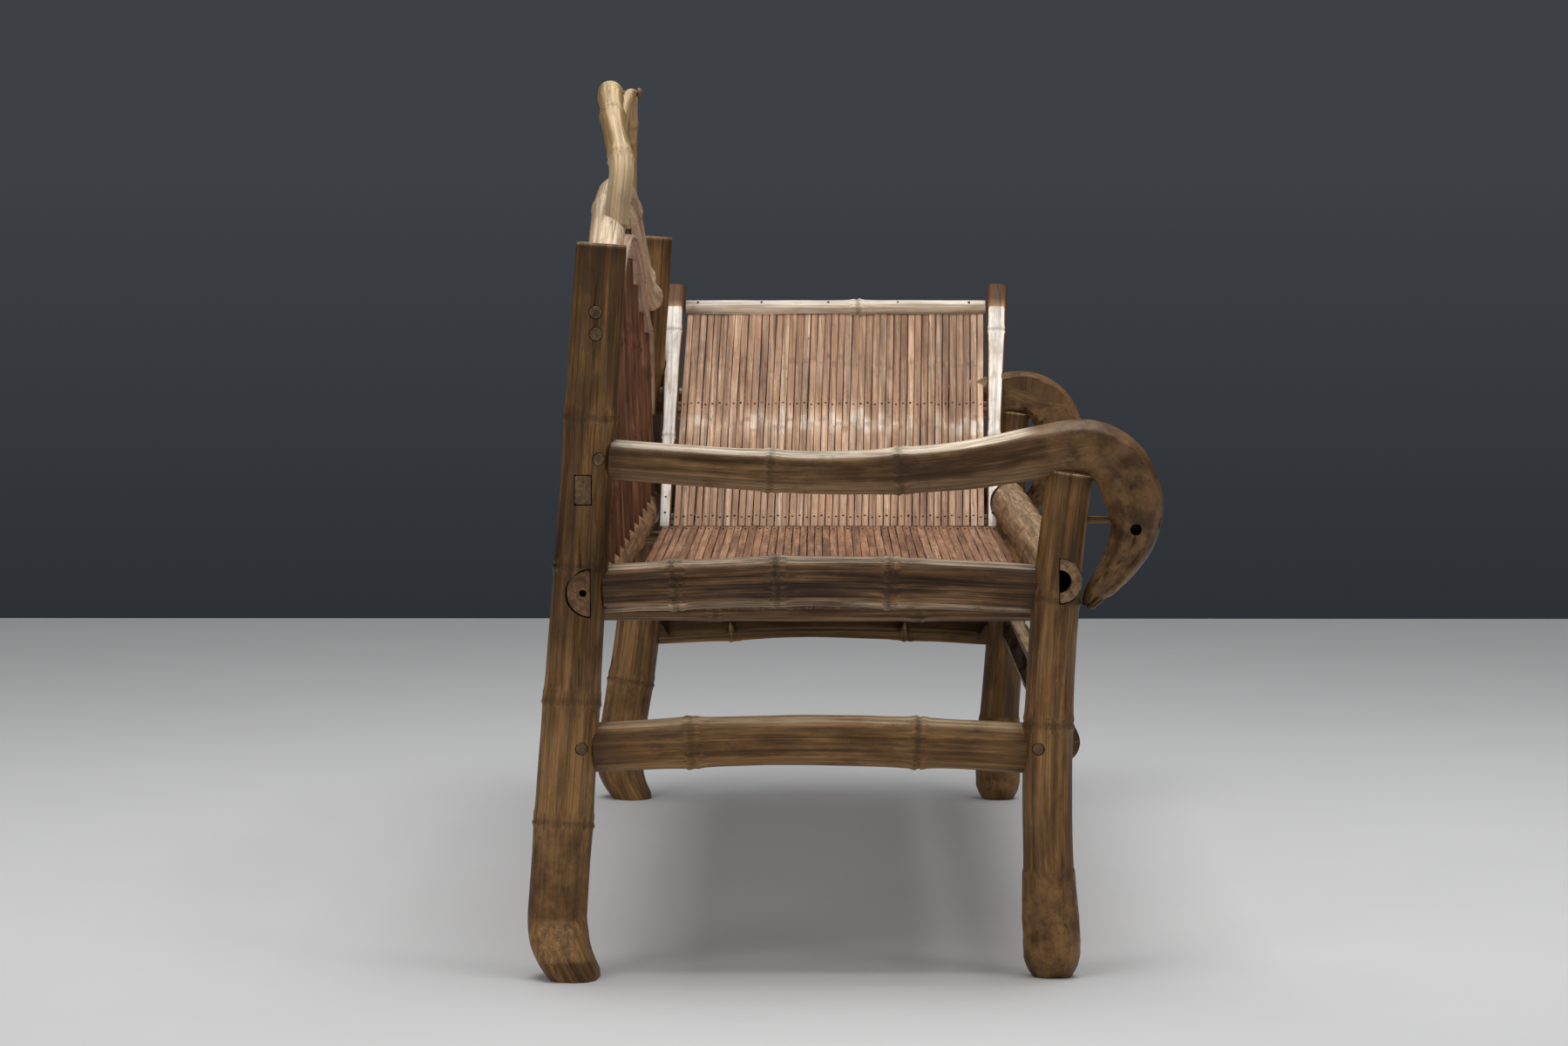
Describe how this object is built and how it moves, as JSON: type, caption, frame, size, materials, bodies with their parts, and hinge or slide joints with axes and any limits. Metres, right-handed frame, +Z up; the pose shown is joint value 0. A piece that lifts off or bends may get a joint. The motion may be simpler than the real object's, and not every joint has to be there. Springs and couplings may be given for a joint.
{
  "type": "bamboo sofa bed",
  "caption": "Long bamboo daybed with scrolled root-end arms, a bent top rail over spindles, a slatted seat and a fixed sloping slatted headrest.",
  "frame": {"origin": "middle of the bounding box at the floor", "axes": "+X along the length towards the headrest, +Y to the back, +Z up"},
  "size_m": [2.0104, 0.7342, 1.0515],
  "materials": {
    "aged_culm": "aged bamboo skin, worn satin",
    "honey_culm": "honey bamboo skin, worn satin",
    "split_slat": "split bamboo, polished by use",
    "red_pole": "red-brown bamboo pole, satin",
    "peg_wood": "end grain, dull"
  },
  "bodies": {
    "root": {"foot_arm": "aged_culm", "head_arm": "aged_culm", "foot_front_post": "aged_culm", "head_front_post": "aged_culm", "foot_rear_post": "aged_culm", "head_rear_post": "aged_culm", "foot_seat_rail": "aged_culm", "head_seat_rail": "aged_culm", "foot_stretcher": "aged_culm", "head_stretcher": "aged_culm", "front_stretcher": "aged_culm", "rear_seat_rail": "aged_culm", "back_top_rail": "aged_culm", "crest_slim_loop": "aged_culm", "crest_peg": "aged_culm", "foot_scroll_pin": "aged_culm", "head_scroll_pin": "aged_culm", "front_seat_rail": "honey_culm", "crest_loop": "honey_culm", "seat_slat_bed": "split_slat", "headrest_slat_panel": "split_slat", "headrest_front_stile": "split_slat", "headrest_rear_stile": "split_slat", "headrest_cap": "split_slat", "back_inner_arch": "split_slat", "lower_back_rail": "red_pole", "back_spindle_01": "red_pole", "back_spindle_02": "red_pole", "back_spindle_03": "red_pole", "back_spindle_04": "red_pole", "back_spindle_05": "red_pole", "back_spindle_06": "red_pole", "back_spindle_07": "red_pole", "back_spindle_08": "red_pole", "back_spindle_09": "red_pole", "back_spindle_10": "red_pole", "foot_arm_peg": "peg_wood", "foot_front_stretcher_peg": "peg_wood", "foot_rear_stretcher_peg": "peg_wood", "foot_upper_dowel": "peg_wood", "foot_lower_dowel": "peg_wood", "head_arm_peg": "peg_wood", "head_front_stretcher_peg": "peg_wood", "head_rear_stretcher_peg": "peg_wood", "head_upper_dowel": "peg_wood", "head_lower_dowel": "peg_wood"}
  },
  "joints": []
}
